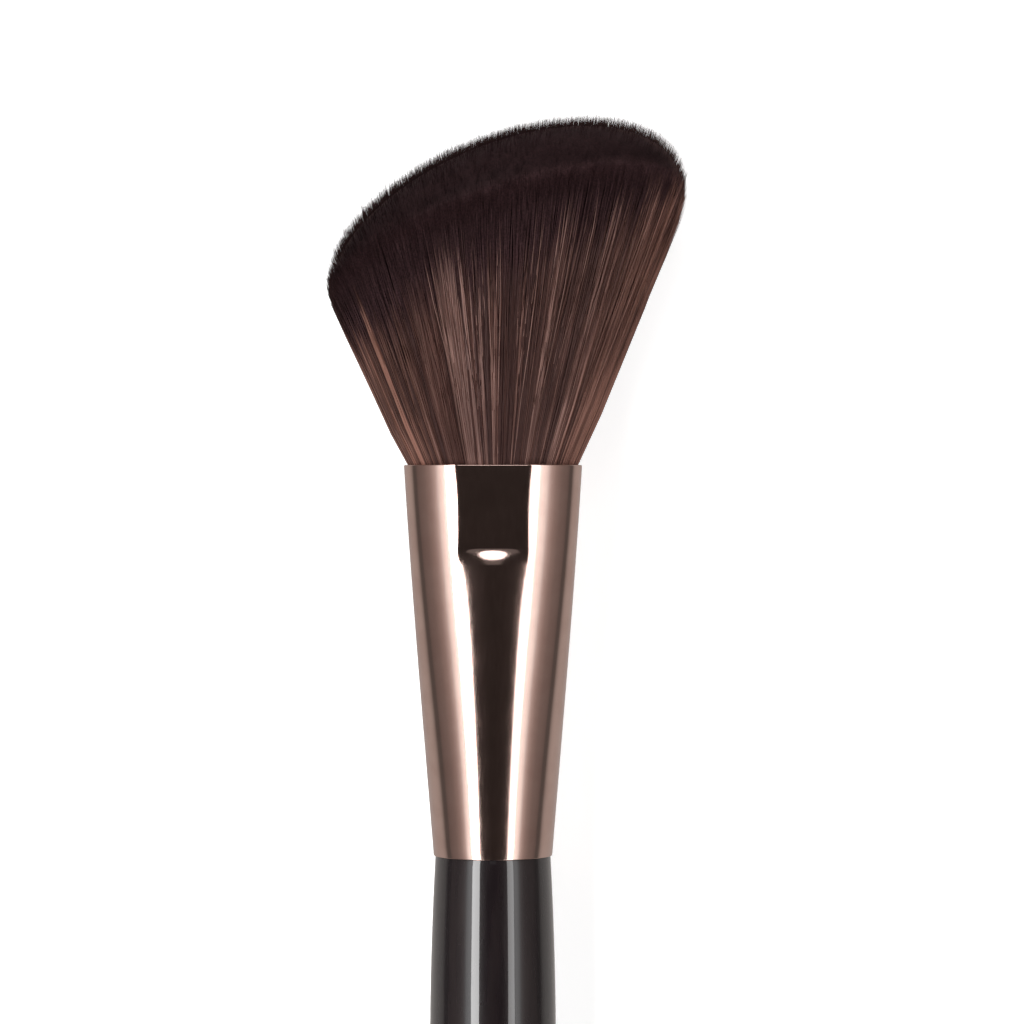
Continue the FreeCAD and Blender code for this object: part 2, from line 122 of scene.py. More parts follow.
class Desk:
    """Adds nodes to one tree."""

    def __init__(self, tree: bpy.types.NodeTree) -> None:
        """Keeps the tree to work on."""
        self.tree = tree

    @classmethod
    def blank(cls, owner: bpy.types.Material | bpy.types.World) -> Desk:
        """The owner's own tree, emptied."""
        owner.use_nodes = True
        owner.node_tree.nodes.clear()
        return cls(owner.node_tree)

    def node(
        self, kind: str, inputs: dict[int | str, object] | None = None, **settings: object
    ) -> bpy.types.Node:
        """Adds a node, sets its properties, and feeds its inputs.

        Args:
            kind: The node's type.
            inputs: A Wire to link or a value to set, by the input's name or number.
            settings: The node's own properties.

        Returns:
            The new node.
        """
        node = self.tree.nodes.new(kind)
        for name, value in settings.items():
            setattr(node, name, value)
        self.feed(node, inputs or {})
        return node

    def feed(self, node: bpy.types.Node, inputs: dict[int | str, object]) -> None:
        """Links or sets a node's inputs."""
        for key, value in inputs.items():
            if isinstance(value, Wire):
                self.tree.links.new(value.socket, node.inputs[key])
            else:
                node.inputs[key].default_value = value

    def wire(self, node: bpy.types.Node, key: int | str = 0) -> Wire:
        """One of a node's outputs as a value."""
        return Wire(self, node.outputs[key])

    def value(
        self, kind: str, inputs: dict[int | str, object] | None = None, key: int | str = 0, **settings: object
    ) -> Wire:
        """Adds a node as node() does, and gives the value of its output of that name or number."""
        return self.wire(self.node(kind, inputs, **settings), key)

    def math(self, operation: str, *values: Wire | float) -> Wire:
        """The outcome of one arithmetic operation."""
        return self.value("ShaderNodeMath", dict(enumerate(values)), operation=operation)

    def fit(self, value: Wire, low: float, high: float, least: float = 0.0, most: float = 1.0) -> Wire:
        """Takes a value smoothly from one range to another, and no further.

        Args:
            value: What to take across.
            low: Value that gives least.
            high: Value that gives most.
            least: Result at low.
            most: Result at high.

        Returns:
            The result.
        """
        inputs = {0: value, 1: low, 2: high, 3: least, 4: most}
        return self.value("ShaderNodeMapRange", inputs, interpolation_type="SMOOTHSTEP")

    def vector(self, *parts: Wire | float) -> Wire:
        """A vector from its three parts."""
        return self.value("ShaderNodeCombineXYZ", dict(enumerate(parts)))

    def split(self, vector: Wire) -> tuple[Wire, Wire, Wire]:
        """A vector's three parts."""
        node = self.node("ShaderNodeSeparateXYZ", {0: vector})
        return self.wire(node, 0), self.wire(node, 1), self.wire(node, 2)

    def ramp(self, value: Wire, stops: tuple[tuple[float, float], ...], peak: float = 1.0) -> Wire:
        """Follows a row of stops in straight lines.

        Args:
            value: What to look up.
            stops: Each stop's value and result, in order.
            peak: Something no result is above.

        Returns:
            The result.
        """
        low, high = stops[0][0], stops[-1][0]
        node = self.node("ShaderNodeValToRGB", {0: (value - low) / (high - low)})
        marks = node.color_ramp.elements
        for place, result in stops[1:-1]:
            marks.new((place - low) / (high - low)).color = (*[result / peak] * 3, 1.0)
        for mark, (_, result) in zip((marks[0], marks[-1]), (stops[0], stops[-1])):
            mark.color = (*[result / peak] * 3, 1.0)
        return self.wire(node) * peak

    def noise(self, vector: Wire, scale: float, detail: float = 2.0) -> Wire:
        """Smooth noise round 0.5 over a vector."""
        inputs = {"Vector": vector, "Scale": scale, "Detail": detail}
        return self.value("ShaderNodeTexNoise", inputs, key="Fac")


Colour = tuple[float, float, float]


class Paint(Desk):
    """Builds one material round a Principled shader."""

    def __init__(self, name: str) -> None:
        """Makes the material and keeps its shader."""
        self.material = bpy.data.materials.new(name)
        self.material.use_nodes = True
        super().__init__(self.material.node_tree)
        self.shader = self.tree.nodes["Principled BSDF"]

    def place(self) -> Wire:
        """Where the shaded point is on the object, in millimetres."""
        spot = self.value("ShaderNodeTexCoord", key="Object")
        inputs = {0: spot, "Scale": 1 / MM}
        return self.value("ShaderNodeVectorMath", inputs, operation="SCALE")

    def stretched(self, vector: Wire, stretch: Colour) -> Wire:
        """The vector with each part multiplied, which draws a pattern out."""
        inputs = {0: vector, 1: stretch}
        return self.value("ShaderNodeVectorMath", inputs, operation="MULTIPLY")

    def trait(self, trait: Trait) -> Wire:
        """A value that the mesh's own points carry."""
        return self.value("ShaderNodeAttribute", attribute_name=trait.value, key="Fac")

    def blend(self, share: Wire, one: Wire | Colour, two: Wire | Colour) -> Wire:
        """A colour between two others."""
        one, two = (value if isinstance(value, Wire) else (*value, 1.0) for value in (one, two))
        return self.value("ShaderNodeMix", {0: share, 6: one, 7: two}, 2, data_type="RGBA")

    def bump(self, height: Wire, depth: float) -> Wire:
        """A surface relief from a height between 0 and 1, that many millimetres deep."""
        inputs = {"Height": height, "Strength": 1.0, "Distance": depth * MM}
        return self.value("ShaderNodeBump", inputs, key="Normal")

    def finish(self, **inputs: Wire | float | tuple[float, ...]) -> bpy.types.Material:
        """Feeds the shader.

        Args:
            inputs: A Wire to link or a value to set, by the input's name with _ for a space.

        Returns:
            The finished material.
        """
        self.feed(self.shader, {name.replace("_", " "): value for name, value in inputs.items()})
        return self.material


# Placing and making meshes


@dataclass(frozen=True)
class BrushAxes:
    """Where the brush's own frame lies on the table."""

    mouth: np.ndarray
    along: np.ndarray

    @classmethod
    def from_grip(cls, record: dict, mouth_distance: float) -> BrushAxes:
        """Reads the axes from the record's grip mount.

        Args:
            record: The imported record.
            mouth_distance: Millimetres from the grip to the ferrule's mouth.

        Returns:
            The axes.
        """
        grip = next(mount for mount in record["mounts"] if mount["name"] == "grip")
        along = np.array(grip["axis"], float)
        along /= np.linalg.norm(along)
        return cls(np.array(grip["pos_m"], float) + along * mouth_distance * MM, along)

    @property
    def upward(self) -> np.ndarray:
        """The brush's z direction, out of its front."""
        return np.cross((1.0, 0.0, 0.0), self.along)

    def place(self, points: np.ndarray) -> np.ndarray:
        """Points of the brush's frame in metres in the row's frame."""
        return self.mouth + points * MM @ np.stack([(1.0, 0.0, 0.0), self.along, self.upward])


def tube_faces(rings: int, turns: int) -> list[tuple[int, ...]]:
    """Quads between rings of points, facing outwards if the rings follow each other along +Y.

    Args:
        rings: Number of rings.
        turns: Points in each ring.

    Returns:
        The quads.
    """
    faces = []
    for ring in range(rings - 1):
        here, there = ring * turns, (ring + 1) * turns
        for one in range(turns):
            two = (one + 1) % turns
            faces.append((here + one, there + one, there + two, here + two))
    return faces


def make_object(name: str, points: np.ndarray, faces: list[tuple[int, ...]]) -> bpy.types.Object:
    """A smooth mesh object at the origin, with its faces turned outwards.

    Args:
        name: The piece's name.
        points: Points in metres in the row's frame.
        faces: Corners of each face.

    Returns:
        The linked object.
    """
    mesh = bpy.data.meshes.new(name)
    mesh.from_pydata(points.tolist(), [], faces)
    mesh.validate()
    mesh.polygons.foreach_set("use_smooth", np.ones(len(mesh.polygons), bool))
    mesh.update()
    thing = bpy.data.objects.new(name, mesh)
    bpy.context.scene.collection.objects.link(thing)
    return thing


def hand_over(
    piece: bpy.types.Object, slot: Slot, material: bpy.types.Material | None, node: str | None
) -> None:
    """Dresses a finished piece and hangs it on the frame.

    Args:
        piece: The piece.
        slot: The record's slot for its finish; not used.
        material: Its material, or None where it already has one.
        node: The CAD node that it stands for, or None.
    """
    if material:
        piece.data.materials.clear()
        piece.data.materials.append(material)
    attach(piece, "root")
    if node:
        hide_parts(node)
    piece.data.calc_loop_triangles()
    log.info("%s: %d triangles", piece.name, len(piece.data.loop_triangles))


# The ferrule


@dataclass(frozen=True)
class PolishedMetal:
    """Drawn and polished metal with a rose-bronze tone."""

    colour: Colour = (0.78, 0.565, 0.495)
    deep_colour: Colour = (0.73, 0.515, 0.45)
    roughness: tuple[float, float] = (0.09, 0.14)

    def material(self) -> bpy.types.Material:
        """Polish with faint drawing lines along the tube, which vary its gloss and its tone."""
        paint = Paint("rose_bronze_polish")
        place = paint.place()
        lines = paint.noise(paint.stretched(place, (1.0, 0.05, 1.0)), 9.0, 3.0)
        haze = paint.noise(place, 0.35, 3.0)
        gloss = paint.fit(lines * 0.6 + haze * 0.4, 0.35, 0.65, *self.roughness)
        tone = paint.blend(paint.fit(haze, 0.35, 0.7), self.colour, self.deep_colour)
        relief = paint.bump(lines, 0.0006)
        return paint.finish(Base_Color=tone, Metallic=1.0, Roughness=gloss, Normal=relief)


@dataclass
class Ferrule:
    """The drawn tube: round at the handle, oval at its mouth, with a pressed flat on its front and back."""

    axes: BrushAxes
    finish: PolishedMetal = field(default_factory=PolishedMetal)
    length: float = 39.0
    wall: float = 0.4
    lip: float = 0.12
    lower_lip: float = 0.05
    heights: tuple[float, ...] = (0.0, 14.5, 26.0, 39.0)
    half_widths: tuple[float, ...] = (5.93, 7.12, 8.03, 8.92)
    half_depths: tuple[float, ...] = (5.93, 6.00, 5.45, 5.30)
    flat_level: float = 4.83
    flat_length: float = 8.3
    ledge_run: float = 1.8
    ledge_top: float = 1.35
    trough_run: float = 8.0
    trough_share: float = 0.25
    crease: float = 0.05
    inner_corner: float = 0.03
    lip_steps: int = 5
    ledge_margin: float = 1.2
    flat_margin: float = 0.1
    side_rings: tuple[int, ...] = (26, 46, 7, 12)
    bore_margin: float = 1.0
    bore_rings: int = 20
    segments: int = 600

    def half_sizes(self, y: float) -> tuple[float, float]:
        """Half width and half thickness of the oval at y, on one cubic through the four sections."""
        heights = np.array(self.heights) - self.length
        return tuple(
            float(np.polyval(np.polyfit(heights, sizes, 3), y))
            for sizes in (self.half_widths, self.half_depths)
        )

    def release(self, y: float) -> float:
        """How far the metal is back from the press: most of the way over the ledge, the rest down a trough.

        Args:
            y: A place along the brush.

        Returns:
            A share from 0 on the flat to 1.
        """
        below = max(0.0, -self.flat_length - y)
        ledge, trough = (min(1.0, below / run) for run in (self.ledge_run, self.trough_run))
        share = self.trough_share
        return 1 - (1 - share) * (1 - ledge**self.ledge_top) ** 2 - share * (1 - trough) ** 2

    def ring(self, y: float, inset: float) -> np.ndarray:
        """One ring of the tube's skin.

        Args:
            y: Where the ring lies along the brush.
            inset: How far inside the tube's outside it lies.

        Returns:
            The ring's points.
        """
        turns = np.arange(self.segments) * FULL_TURN / self.segments
        wide, deep = self.half_sizes(y)
        x, z = (wide - inset) * np.cos(turns), (deep - inset) * np.sin(turns)
        level = self.flat_level - inset
        height = np.abs(z)
        pressed = (height + level - np.sqrt((height - level) ** 2 + self.crease**2)) / 2
        height = pressed + (height - pressed) * self.release(y)
        return np.stack([x, np.full_like(x, y), np.sign(z) * np.maximum(height, 0.0)], axis=1)

    def stations(self) -> list[tuple[float, float]]:
        """The rings' places and insets: up the outside, over the mouth's lip, down the bore and round."""
        bend = [math.pi / 2 * step / self.lip_steps for step in range(self.lip_steps + 1)]
        turn = [(1 - math.sin(angle), 1 - math.cos(angle)) for angle in bend]
        lower = [(-self.length + self.lower_lip * rise, self.lower_lip * inset) for rise, inset in turn[::-1]]
        upper = [(-self.lip * rise, self.lip * inset) for rise, inset in turn]
        ledge = -self.flat_length - self.ledge_run - self.ledge_margin
        flat = (-self.flat_length - self.flat_margin, -self.flat_length + self.flat_margin)
        marks = (-self.length + self.lower_lip, ledge, *flat, -self.lip)
        spans = zip(marks, marks[1:], self.side_rings)
        side = [(y, 0.0) for low, high, count in spans for y in np.linspace(low, high, count)[1:]]
        wall, corner, margin = self.wall, self.inner_corner, self.bore_margin
        bore = [-corner, *np.linspace(-margin, -self.length + margin, self.bore_rings), -self.length + corner]
        inner = [(0.0, wall - corner), (0.0, wall), *[(y, wall) for y in bore]]
        return [*lower, *side[:-1], *upper, *inner, (-self.length, wall), (-self.length, wall - corner)]

    def build(self) -> bpy.types.Object:
        """Skins the rings into one closed wall."""
        stations = self.stations()
        points = np.concatenate([self.ring(*station) for station in stations])
        faces = tube_faces(len(stations) + 1, self.segments)
        count = len(points)
        faces = [tuple(corner % count for corner in face) for face in faces]
        return make_object("ferrule_tube", self.axes.place(points), faces)

    def dress(self) -> None:
        """Builds the tube and hangs it on the frame in its metal."""
        hand_over(self.build(), Slot.FERRULE, self.finish.material(), "ferrule")


# The handle


@dataclass(frozen=True)
class BlackLacquer:
    """Near-black paint on turned wood, under a thick clear gloss."""

    colour: Colour = (0.0085, 0.0055, 0.0068)
    warm_colour: Colour = (0.0125, 0.0080, 0.0086)

    def material(self) -> bpy.types.Material:
        """Paint whose tone drifts, under a clear coat that flows in slow waves."""
        paint = Paint("black_lacquer")
        place = paint.place()
        drift = paint.noise(paint.stretched(place, (1.0, 0.12, 1.0)), 0.9, 4.0)
        flow = paint.noise(paint.stretched(place, (1.0, 0.35, 1.0)), 0.6, 1.0)
        tone = paint.blend(paint.fit(drift, 0.3, 0.75), self.colour, self.warm_colour)
        gloss = paint.fit(drift, 0.3, 0.7, 0.24, 0.34)
        coat = paint.bump(flow, 0.006)
        return paint.finish(
            Base_Color=tone,
            Roughness=gloss,
            Specular_IOR_Level=0.2,
            Coat_Weight=1.0,
            Coat_Roughness=0.035,
            Coat_IOR=1.7,
            Coat_Normal=coat,
        )


def arc(
    centre: tuple[float, float], radius: float, start: float, end: float, steps: int
) -> list[tuple[float, float]]:
    """Points of an arc after its first, at equal angles from the radial direction, all as (y, radius)."""
    angles = [start + (end - start) * step / steps for step in range(1, steps + 1)]
    return [(centre[0] + radius * math.sin(angle), centre[1] + radius * math.cos(angle)) for angle in angles]


@dataclass
class Handle:
    """The turned wooden handle with its tenon."""

    axes: BrushAxes
    finish: BlackLacquer = field(default_factory=BlackLacquer)
    shoulder_y: float = -39.0
    shoulder_radius: float = 5.75
    tenon_radius: float = 5.48
    tenon_length: float = 14.0
    tenon_chamfer: float = 0.8
    belly_distance: float = 20.0
    belly_radius: float = 6.3
    taper_curve: float = 400.0
    length: float = 106.0
    nose_radius: float = 3.2
    edge_ease: float = 0.06
    arc_steps: int = 16
    taper_steps: int = 4
    shoulder_steps: int = 19
    tenon_foot: float = 0.1
    segments: int = 160

    def outline(self) -> list[tuple[float, float]]:
        """Half of the handle's outline as (y, radius), from the tail to the tenon's end."""
        belly_y = self.shoulder_y - self.belly_distance
        tail_y = self.shoulder_y - self.length
        nose_y = tail_y + self.nose_radius
        curve = self.taper_curve
        centre_radius = self.belly_radius - curve
        reach = math.hypot(centre_radius, nose_y - belly_y)
        lean = math.atan2(nose_y - belly_y, -centre_radius)
        taper = lean + math.acos((curve - self.nose_radius) / reach)
        points = arc((nose_y, 0.0), self.nose_radius, -math.pi / 2, taper, self.arc_steps)
        belly = (belly_y, centre_radius)
        start = (belly_y + curve * math.sin(taper), centre_radius + curve * math.cos(taper))
        points += [tuple(spot) for spot in np.linspace(points[-1], start, self.taper_steps + 1)[1:].tolist()]
        points += arc(belly, curve, taper, 0.0, self.arc_steps)
        rise = self.belly_radius - self.shoulder_radius
        upper_curve = (rise**2 + self.belly_distance**2) / (2 * rise)
        ease = self.edge_ease
        for y in np.linspace(belly_y, self.shoulder_y - ease, self.shoulder_steps + 1)[1:]:
            drop = upper_curve - math.sqrt(upper_curve**2 - (y - belly_y) ** 2)
            points.append((float(y), self.belly_radius - drop))
        tenon_end = self.shoulder_y + self.tenon_length
        points += [
            (self.shoulder_y - ease * 0.3, self.shoulder_radius - ease * 0.3),
            (self.shoulder_y, self.shoulder_radius - ease),
            (self.shoulder_y, self.tenon_radius),
            (self.shoulder_y + self.tenon_foot, self.tenon_radius),
            (tenon_end - self.tenon_chamfer, self.tenon_radius),
            (tenon_end, self.tenon_radius - self.tenon_chamfer),
        ]
        return points

    def build(self) -> bpy.types.Object:
        """Spins the outline round the brush's axis and closes both ends at a pole."""
        turns = np.arange(self.segments) * FULL_TURN / self.segments
        outline = self.outline()
        rings = [
            np.stack([radius * np.cos(turns), np.full_like(turns, y), radius * np.sin(turns)], axis=1)
            for y, radius in outline
        ]
        tail = (0.0, self.shoulder_y - self.length, 0.0)
        top = (0.0, outline[-1][0], 0.0)
        points = np.concatenate([*rings, [tail, top]])
        faces = tube_faces(len(outline), self.segments)
        faces += pole_faces(0, len(points) - 2, self.segments, False)
        faces += pole_faces((len(outline) - 1) * self.segments, len(points) - 1, self.segments, True)
        return make_object("lacquered_handle", self.axes.place(points), faces)

    def dress(self) -> None:
        """Builds the handle and hangs it on the frame in its lacquer."""
        hand_over(self.build(), Slot.HANDLE, self.finish.material(), "handle")


def pole_faces(first: int, pole: int, turns: int, at_end: bool) -> list[tuple[int, ...]]:
    """Triangles that close a ring at its pole.

    Args:
        first: Number of the ring's first point.
        pole: Number of the pole's point.
        turns: Points in the ring.
        at_end: Whether the pole lies on the ring's +Y side.

    Returns:
        The triangles.
    """
    faces = []
    for one in range(turns):
        two = (one + 1) % turns
        faces.append((first + one, pole, first + two) if at_end else (first + two, pole, first + one))
    return faces


# The resin plug


@dataclass(frozen=True)
class AmberResin:
    """Cured resin with faint clouds."""

    colour: Colour = (0.42, 0.30, 0.14)
    cloud_colour: Colour = (0.30, 0.19, 0.08)

    def material(self) -> bpy.types.Material:
        """Glossy resin, darker where its clouds are dense."""
        paint = Paint("amber_resin")
        clouds = paint.noise(paint.place(), 0.5, 4.0)
        tone = paint.blend(paint.fit(clouds, 0.35, 0.65), self.colour, self.cloud_colour)
        gloss = paint.fit(clouds, 0.3, 0.7, 0.16, 0.3)
        return paint.finish(Base_Color=tone, Roughness=gloss, Transmission_Weight=0.15)


@dataclass
class GluePlug:
    """The resin that fills the ferrule behind the roots: the CAD node itself, in its own finish."""

    finish: AmberResin = field(default_factory=AmberResin)

    def dress(self) -> None:
        """Gives the CAD node its resin."""
        hand_over(frame["nodes"]["glue_plug"], Slot.RESIN, self.finish.material(), None)


# The hair


@dataclass(frozen=True)
class DyedHair:
    """Fine hair: warm brown, with lighter and rusty strands that are partly painted highlights, dipped nearly black
    at the tips, with painted light over the rim's band and the crest.
    """

    brown: Colour = (0.092, 0.037, 0.028)
    deep_brown: Colour = (0.040, 0.0150, 0.0125)
    pale: Colour = (0.29, 0.165, 0.138)
    right_paleness: float = 0.12
    rust: Colour = (0.32, 0.155, 0.115)
    rust_centre: float = 0.06
    ash: Colour = (0.31, 0.195, 0.175)
    ash_centre: float = -0.15
    # Where the painted highlights and the lighter hairs are dimmed
    calm_centre: float = -0.42
    # Painted light: a lighter, warmer tone on the crest, where the upward-facing tips get less light
    crest: Colour = (0.070, 0.036, 0.034)
    tip_hue: Colour = (1.0, 0.50, 0.54)
    # Tip tones by height over the rim: the dark dye, with painted light that lifts the band where the hairs shade
    # each other
    tip_tones: tuple[tuple[float, float], ...] = (
        (-1.0, 0.056), (0.0, 0.066), (0.6, 0.070), (1.2, 0.055), (1.7, 0.030), (2.2, 0.0200), (2.75, 0.0210),
        (3.75, 0.026), (4.75, 0.030), (7.0, 0.034),
    )
    deepest: Colour = (0.009, 0.0045, 0.0050)
    dip_height: float = 19.2
    dip_slant: float = 7.4
    rim_slant: float = 0.9

    def off_centre(self, paint: Paint, centre: float) -> Wire:
        """How far across the point lies from there, to either side."""
        return paint.math("ABSOLUTE", paint.trait(Trait.ACROSS) - centre)

    def undipped(self, paint: Paint) -> tuple[Wire, Wire]:
        """The hair below the dip, with painted highlights among its lighter hairs and on its flanks.

        Args:
            paint: The material in the making.

        Returns:
            Its tone, and how much of the pale shade it has, which is partly painted highlight.
        """
        tint, lock = paint.trait(Trait.TINT), paint.trait(Trait.LOCK)
        across, rise = paint.trait(Trait.ACROSS), paint.trait(Trait.RISE)
        tone = paint.blend(paint.fit(lock * 0.8 + tint * 0.2, 0.15, 0.85), self.deep_brown, self.brown)
        tone = paint.blend(paint.fit(across, 0.0, 0.6, 0.0, self.right_paleness), tone, self.pale)

        # Lighter hairs and painted highlights: glints run along single hairs, patches over whole locks
        glint = paint.noise(paint.vector(tint * 41.0, across * 9.0, rise * 0.13), 1.0, 2.0)
        patch = paint.noise(paint.vector(across * 3.2, rise * 0.12, lock * 0.8), 1.0, 2.0)
        light = paint.fit(tint * 0.25 + lock * 0.95 + patch * 0.3, 0.88, 1.18)
        light = light * paint.fit(glint, 0.36, 0.58, 0.2, 1.0)
        light = light * paint.fit(self.off_centre(paint, self.calm_centre), 0.05, 0.14, 0.22, 1.0)
        tone = paint.blend(light, tone, self.pale)
        # Rust-brown hairs on the flanks, partly painted highlight
        flank = paint.fit(self.off_centre(paint, self.rust_centre), 0.56, 0.90)
        flank = flank * paint.fit(tint * 0.5 + lock * 0.6 + patch * 0.5, 0.35, 1.0, 0.1, 0.95)
        tone = paint.blend(flank, tone, self.rust)
        # Greyish-pink hairs left of centre, partly painted highlight where their glints fall
        ash_highlight_share = paint.fit(self.off_centre(paint, self.ash_centre), 0.04, 0.19, 1.0, 0.0)
        ash_highlight_share = ash_highlight_share * paint.fit(tint, 0.5, 0.75) * paint.fit(glint, 0.35, 0.6, 0.1, 0.6)
        tone = paint.blend(ash_highlight_share, tone, self.ash)
        return paint.blend(paint.fit(patch, 0.3, 0.62, 0.55, 1.0), self.deep_brown, tone), light

    def dipped(self, paint: Paint) -> Wire:
        """The dark tone of the tips, by how far they stand over the rim and from the dome's crest, with painted
        light over the rim's band and on the crest, where the hairs shade each other.
        """
        over_rim = paint.trait(Trait.OVER_RIM) - paint.trait(Trait.ACROSS) * self.rim_slant
        tip = paint.stretched(paint.ramp(over_rim, self.tip_tones), self.tip_hue)
        # Painted light on the dome's crest, lifting the tips there
        crest = paint.fit(paint.math("ABSOLUTE", paint.trait(Trait.THROUGH)), 0.1, 0.42, 1.0, 0.0)
        grain = paint.noise(paint.place(), 5.0, 1.0)
        tip = paint.blend(crest, tip, self.crest)
        return paint.blend(paint.fit(grain, 0.35, 0.65, 0.0, 0.45), tip, self.deepest)

    def material(self) -> bpy.types.Material:
        """Each hair's shade and its lock's, with the dark dip over both."""
        paint = Paint("dyed_hair")
        tone, light = self.undipped(paint)
        lock, across, rise = (paint.trait(trait) for trait in (Trait.LOCK, Trait.ACROSS, Trait.RISE))
        over = rise - across * self.dip_slant - self.dip_height - lock * 1.6 - light * 2.4
        dip = paint.fit(over, -5.0, 1.5)
        tone = paint.blend(dip, tone, self.dipped(paint))
        sheen = paint.fit(dip, 0.0, 1.0, 0.18, 0.04)
        return paint.finish(Base_Color=tone, Roughness=0.5, Specular_IOR_Level=sheen)


@dataclass
class Tuft:
    """The knot of hair: its roots in the ferrule, a dense core, and single hairs over it."""

    axes: BrushAxes
    ferrule: Ferrule
    finish: DyedHair = field(default_factory=DyedHair)
    mouth_half_width: float = 8.72
    mouth_half_depth: float = 4.63
    side_spread: float = 0.425
    depth_spread: float = 0.2
    side_lean: float = 0.027
    rim_length: float = 20.7
    rim_slant: float = 4.2
    dome_height: float = 12.0
    dome_slant: float = 3.8
    dome_roundness: float = 0.57
    dome_crown: float = 0.4
    root_length: float = 12.0
    root_gap: float = 0.1
    core_share: float = 0.945
    core_drop: float = 0.75
    core_seed: int = 11
    ridge_depth: float = 0.012
    ridge_waves: tuple[tuple[float, ...], ...] = ((61, 0.3, 0.5), (97, 1.7, 0.35), (149, 4.1, 0.3))
    root_rings: int = 8
    side_rings: int = 26
    dome_rings: int = 20
    evenness: float = 0.11
    hair_root: float = 1.0
    point_crowding: float = 1.5
    loosening_height: float = 26.0
    gathering: float = 0.085
    unevenness: float = 0.035
    waviness: float = 0.16
    crossing: float = 0.7
    tip_taper: float = 3.0
    tip_share: float = 0.14
    table_clearance: float = 0.01

    def rim_height(self, across: np.ndarray) -> np.ndarray:
        """Length of the outermost hairs, where the front turns into the dome."""
        ridge = np.maximum(0.0, 1.0 - across**2) ** self.dome_roundness
        dome = self.dome_height + self.dome_slant * across
        return self.rim_length + self.rim_slant * across + dome * self.dome_crown * ridge

    def hair_length(self, across: np.ndarray, through: np.ndarray) -> np.ndarray:
        """Length of the hairs whose roots lie at these shares of the mouth."""
        inner = np.maximum(0.0, 1.0 - across**2 - through**2) ** self.dome_roundness
        dome = self.dome_height + self.dome_slant * across
        return self.rim_height(across) + dome * (1 - self.dome_crown) * inner

    def hair_points(self, across: np.ndarray, through: np.ndarray, rise: np.ndarray) -> np.ndarray:
        """Where those hairs are at these heights above the mouth."""
        x = across * (self.mouth_half_width + self.side_spread * rise) - self.side_lean * rise
        z = through * (self.mouth_half_depth + self.depth_spread * rise)
        return np.stack([x, rise, z], axis=1)

    def on_table(self, points: np.ndarray) -> np.ndarray:
        """Points in the row's frame, with the hair pressed flat where it meets the table."""
        placed = self.axes.place(points)
        placed[:, 2] = np.maximum(placed[:, 2], self.table_clearance * MM)
        return placed

    def core_rings(self, turns: np.ndarray) -> Iterator[tuple[np.ndarray, np.ndarray, np.ndarray]]:
        """The core's rings from the roots' end to the crown, ridged where the hairs gather.

        Args:
            turns: The angle of each of a ring's points.

        Returns:
            Each ring's points, and their shares across and through.
        """
        across, through = np.cos(turns), np.sin(turns)
        ridges = sum(weight * np.sin(count * turns + phase) for count, phase, weight in self.ridge_waves)
        for depth in np.linspace(self.root_length, self.hair_root, self.root_rings):
            yield self.ferrule.ring(-float(depth), self.ferrule.wall + self.root_gap), across, through
        share = self.core_share
        end = self.hair_length(share * across, share * through) - self.core_drop
        for step in np.linspace(0.02, 1.0, self.side_rings):
            swell = share * (1 + self.ridge_depth * ridges * step) * (1 - 0.03 * math.exp(-step * 12))
            yield self.hair_points(across * swell, through * swell, end * step), across, through
        for inner in np.cos(np.linspace(0, math.pi / 2, self.dome_rings))[1:-1]:
            near = share * inner * (1 + self.ridge_depth * ridges * inner)
            shares = near * across, near * through
            yield self.hair_points(*shares, self.hair_length(*shares) - self.core_drop), *shares

    def build_core(self) -> bpy.types.Object:
        """The dense body of hair under the single hairs, with its roots, and what its points carry."""
        segments = self.ferrule.segments
        turns = np.arange(segments) * FULL_TURN / segments
        tint = np.random.default_rng(self.core_seed).random(segments)
        tint = (tint + np.roll(tint, 1)) / 2
        lock = 0.5 + 0.5 * np.sin(9 * turns + 2 * np.sin(4 * turns))
        rings, traits = [], []
        for points, across, through in self.core_rings(turns):
            rings.append(points)
            traits.append([points[:, 1] - self.rim_height(across), points[:, 1], across, through, tint, lock])
        middle = np.zeros(1)
        crown = self.hair_points(middle, middle, self.hair_length(middle, middle) - self.core_drop)
        poles = np.concatenate([[(0.0, -self.root_length, 0.0)], crown])
        traits.append([poles[:, 1] - self.rim_height(0.0), poles[:, 1], *np.zeros((4, 2))])
        root_pole = segments * len(rings)
        faces = tube_faces(len(rings), segments)
        faces += pole_faces(0, root_pole, segments, False)
        faces += pole_faces(root_pole - segments, root_pole + 1, segments, True)
        core = make_object("hair_core", self.on_table(np.concatenate([*rings, poles])), faces)
        for trait, values in zip(Trait, np.concatenate(traits, axis=1).astype(np.float32)):
            core.data.attributes.new(trait.value, "FLOAT", "POINT").data.foreach_set("value", values)
        return core

    def dress(self) -> None:
        """Builds the core and each growth of single hairs, and hangs them on the frame."""
        material = self.finish.material()
        hand_over(self.build_core(), Slot.HAIR, material, "bristle_tuft")
        tree = HairTree(self).tree
        for growth in GROWTHS:
            hand_over(growth.grow(tree, material), Slot.HAIR, None, "bristle_tuft")


